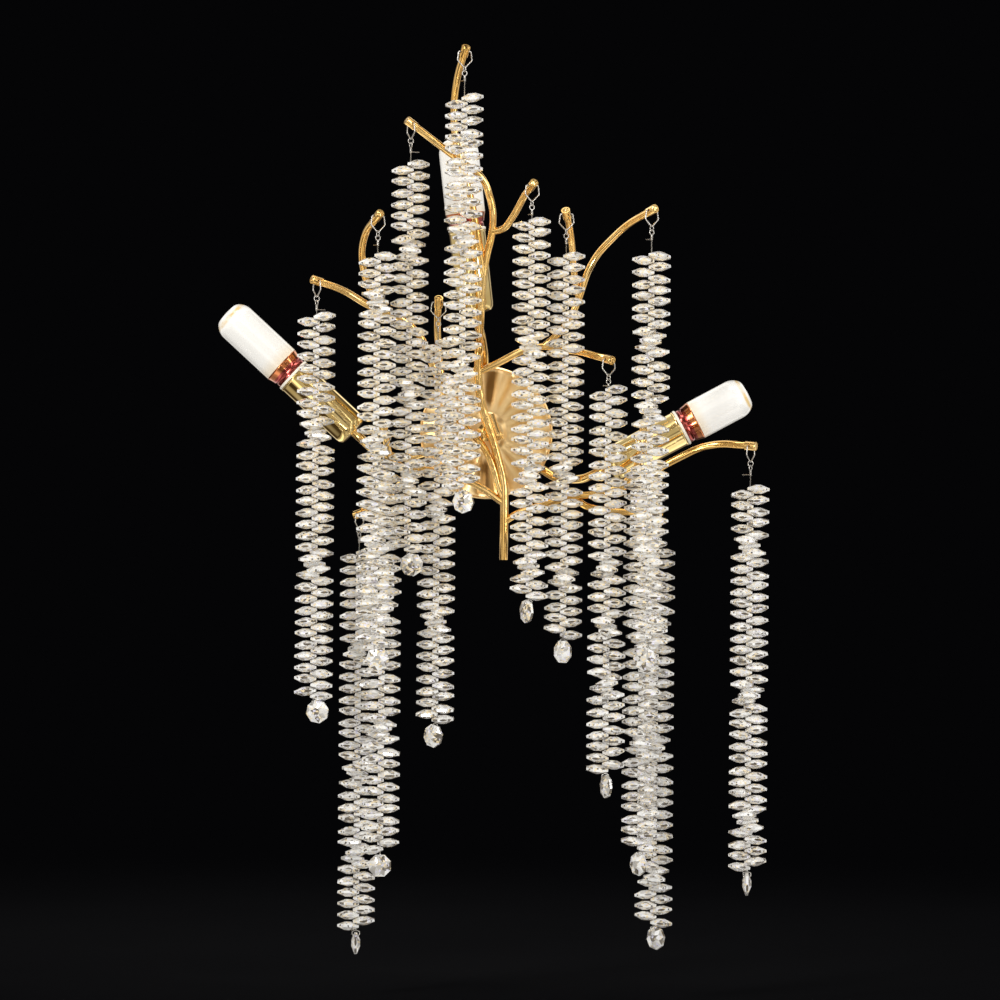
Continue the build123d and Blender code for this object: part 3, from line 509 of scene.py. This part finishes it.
def crystal_frames(hole, strand):
    """The place of each crystal: its axes as columns (out from the wire, sideways, up), and its middle.

    Crystal k points to 180 (k + turns so far) degrees, so that they lie left and right in turn. Each one is up
    to 4 degrees off line and up to 7 degrees off level. The last one is the drop: it hangs on edge under the
    wire, faces the heading and leans by the tilt.
    """
    bare, count, half_turns, heading, tilt = STRAND_TABLE[strand]
    k = np.arange(count)
    turns = sum(np.clip((k - start) / HALF_TURN, 0, 1) for start in half_turns)
    a = np.radians(180 * (k + turns) + random.uniform(-4, 4, count))
    tip, roll = np.radians(random.uniform(-7, 7, (2, count)))
    out = np.column_stack([np.cos(a) * np.cos(tip), np.sin(a) * np.cos(tip), np.sin(tip)])
    side = np.column_stack([-np.sin(a) * np.cos(roll), np.cos(a) * np.cos(roll), np.sin(roll)])
    up = np.cross(out, side)
    up /= np.linalg.norm(up, axis=1)[:, None]
    side = np.cross(up, out)
    wire = np.column_stack([np.full(count, hole[0]), np.full(count, hole[1]), hole[2] - bare - PITCH * k])
    heading, tilt = np.radians((heading, tilt))
    face = np.array([np.cos(heading), np.sin(heading), 0])
    down = np.array([0, 0, -1.0])
    drop_out = np.cos(tilt) * down + np.sin(tilt) * np.cross(face, down)
    drop_side = np.cross(face, drop_out)
    drop_hole = wire[-1] - (0, 0, DROP)
    axes = np.stack([np.vstack([out, drop_out]), np.vstack([side, drop_side]), np.vstack([up, face])], axis=2)
    return axes, np.vstack([wire, drop_hole]) + REACH * np.vstack([out, drop_out])


def strand_crystals(hole, strand):
    """All the crystals of a strand in one mesh: each point is its crystal's axes times the cut crystal's point,
    plus the crystal's middle. Each facet's tone is painted light and shade: most facets are light; those of
    the drop have four tones, mostly darker."""
    axes, middles = crystal_frames(hole, strand)
    points = np.einsum("kij,pj->kpi", axes, CRYSTAL_POINTS) + middles[:, None, :]
    count, corners, facets = len(middles), len(CRYSTAL_POINTS), len(CRYSTAL_FACES)
    faces = [tuple(point + k * corners for point in face) for k in range(count) for face in CRYSTAL_FACES]
    # Painted light and shade: a tone for each facet, four mostly darker tones on the drop.
    tone = random.beta(1.15, 0.85, len(faces))
    tone[-facets:] = random.choice([0.03, 0.16, 0.34, 0.7], facets)
    # How dark each crystal's painted dark lens is; the drop carries DROP_DEPTH instead.
    depth = np.append(np.clip(random.normal(0.5, 0.5, count - 1), 0, 1.2), DROP_DEPTH)
    shift = random.uniform(-2.5, 3.0, count)
    marks = {"depth": np.repeat(depth, corners), "shift": np.repeat(shift, corners),
             "along": np.tile(CRYSTAL_POINTS[:, 0], count), "height": np.tile(CRYSTAL_POINTS[:, 2], count)}
    made = piece(f"crystals_{strand}", points.reshape(-1, 3), faces, [CRYSTAL, HOLE], f"strand_{strand}",
                 [f"strand_{strand}_crystals"],
                 [("tone", "FACE", tone)] + [(name, "POINT", values) for name, values in marks.items()],
                 smooth=False)
    # The dark sleeve of painted shade takes the second material.
    shade_sleeve = np.tile(np.arange(facets) >= facets - SHADE_SLEEVE_FACES, count)
    made.data.polygons.foreach_set("material_index", shade_sleeve.astype(np.int32))


for joint in frame["joints"]:
    if joint["name"].startswith("strand_"):
        strand = joint["name"].split("_")[1]
        strand_crystals(np.array(joint["pos_m"]) / MM, strand)
        smoothed(f"strand_{strand}_wire", WIRE, f"strand_{strand}")


# --- Stage, in metres -----------------------------------------------------------------------------------------
FLOOR_MIDDLE, FLOOR_SIDES = (0, 0.4, -0.42), 96
SCONCE_MIDDLE, SCONCE_TOP = (0, -0.05, 0), (0, -0.05, 0.1)


def floor():
    """A dark floor under the sconce that fades into the background away from it. Each of its rings is
    r (cos u, sin u) round its middle, and reflections don't show it."""
    u = np.linspace(0, 2 * np.pi, FLOOR_SIDES, endpoint=False)
    r = np.array([0.001, 0.4, 0.8, 1.2, 1.6])[:, None]
    points = np.stack([r * np.cos(u), r * np.sin(u), 0 * r * u], axis=-1) + FLOOR_MIDDLE
    faces = grid_faces(len(r), FLOOR_SIDES)[:-FLOOR_SIDES]
    mesh = bpy.data.meshes.new("floor")
    mesh.from_pydata(points.reshape(-1, 3), [], faces.tolist())
    f = Finish("floor")
    clouds = f.clouds(3)
    f.surface(Base_Color=f.tint(clouds, (0.004, 0.004, 0.0045), (0.006, 0.006, 0.0065)), Roughness=0.9,
              Specular_IOR_Level=0.0)
    away = f.node("ShaderNodeVectorMath", {"operation": "DISTANCE"}, {0: f.place(), 1: FLOOR_MIDDLE})
    fade = Level(f, away.outputs["Value"]).between(0.1, 1.3)
    solid = f.tree.nodes["Principled BSDF"].outputs[0]
    clear = f.node("ShaderNodeBsdfTransparent", {}, {}).outputs[0]
    blend = f.node("ShaderNodeMixShader", {}, {0: fade, 1: solid, 2: clear})
    f.tree.links.new(blend.outputs[0], f.tree.nodes["Material Output"].inputs["Surface"])
    mesh.materials.append(f.material)
    made = bpy.data.objects.new("floor", mesh)
    made.visible_glossy = False
    bpy.context.scene.collection.objects.link(made)


def softbox(name, place, target, size, power, tone=(1, 1, 1)):
    """An area light of a width and a height that stands at a place and faces a target."""
    data = bpy.data.lights.new(name, "AREA")
    data.shape, data.size, data.size_y, data.energy, data.color = "RECTANGLE", *size, power, tone
    made = bpy.data.objects.new(name, data)
    turn = (Vector(place) - Vector(target)).to_track_quat("Z", "Y").to_matrix().to_4x4()
    made.matrix_world = Matrix.Translation(place) @ turn
    bpy.context.scene.collection.objects.link(made)


def background():
    """Dark behind the sconce, also in glass and metal, with bright bands in front for the metal to reflect.

    A band is 1 at its middle and falls smoothly to 0 at its half width, by the ray's direction across (X) or up
    (Z). Between the bands and the darker dips the metal reflects a dim grey.
    """
    world = bpy.data.worlds.new("studio")
    bpy.context.scene.world = world
    world.use_nodes = True
    f = Finish("studio", world.node_tree)
    light = f.tree.nodes["Background"]
    light.inputs["Color"].default_value = (1.0, 0.99, 0.97, 1)
    light.inputs["Strength"].default_value = 0.62
    way = f.node("ShaderNodeTexCoord", {}, {}).outputs["Generated"]
    parts = f.node("ShaderNodeSeparateXYZ", {}, {0: way}).outputs
    across, depth, up = (Level(f, parts[axis]) for axis in "XYZ")
    rays = f.node("ShaderNodeLightPath", {}, {}).outputs

    def band(level, middle, half):
        return level.between(middle - half, middle) * (1 - level.between(middle, middle + half))

    bands = (1.2 * band(across, -0.30, 0.13) + 0.7 * band(across, 0.45, 0.10)
             + band(up, 0.38, 0.13) + 0.4 * band(up, -0.28, 0.12))
    dips = (band(across, 0.16, 0.11) + band(across, -0.58, 0.15) + band(across, 0.76, 0.13)
            + band(up, 0.64, 0.15) + band(up, -0.56, 0.15)).at_most(1.0)
    tone = (1 - depth.between(0.75, 0.98)) * (bands + 0.30 * (1 - dips)).at_most(1.0)
    colour = f.tint(tone, (0.035, 0.024, 0.014), (1.0, 0.97, 0.92))
    gleam = f.node("ShaderNodeBackground", {}, {"Color": colour, "Strength": 1.8})
    backdrop = f.node("ShaderNodeBackground", {}, {"Color": (0.0015, 0.0015, 0.0018, 1)})
    shown = f.node("ShaderNodeMixShader", {}, {0: rays["Is Glossy Ray"], 1: light.outputs[0], 2: gleam.outputs[0]})
    direct = across.maths("MAXIMUM", rays["Is Camera Ray"], rays["Is Transmission Ray"])
    both = f.node("ShaderNodeMixShader", {}, {0: direct, 1: shown.outputs[0], 2: backdrop.outputs[0]})
    f.tree.links.new(both.outputs[0], f.tree.nodes["World Output"].inputs["Surface"])


floor()
background()
softbox("key", (-1.3, -1.9, 1.1), SCONCE_MIDDLE, (0.5, 1.6), 33, (1, 0.98, 0.95))
softbox("fill", (1.7, -1.5, 0.2), SCONCE_MIDDLE, (0.35, 1.8), 19)
softbox("crown", (0.1, -0.4, 1.6), SCONCE_TOP, (1.2, 0.4), 7)
softbox("spark", (-0.5, -2.4, -0.9), SCONCE_MIDDLE, (0.25, 0.25), 7)

# The camera looks level into the wall, from four metres in front of it, and is rolled by half a degree.
EYE, ROLL = (0.01066, -4.070, -0.04998), 0.0087
eye = bpy.data.cameras.new("camera")
eye.sensor_width, eye.lens = 36, 195.9
camera = bpy.data.objects.new("camera", eye)
camera.matrix_world = (Matrix.Translation(EYE) @ Matrix.Rotation(np.pi / 2, 4, "X")
                       @ Matrix.Rotation(ROLL, 4, "Z"))
bpy.context.scene.collection.objects.link(camera)
bpy.context.scene.camera = camera
bpy.context.scene.view_settings.view_transform = "Standard"
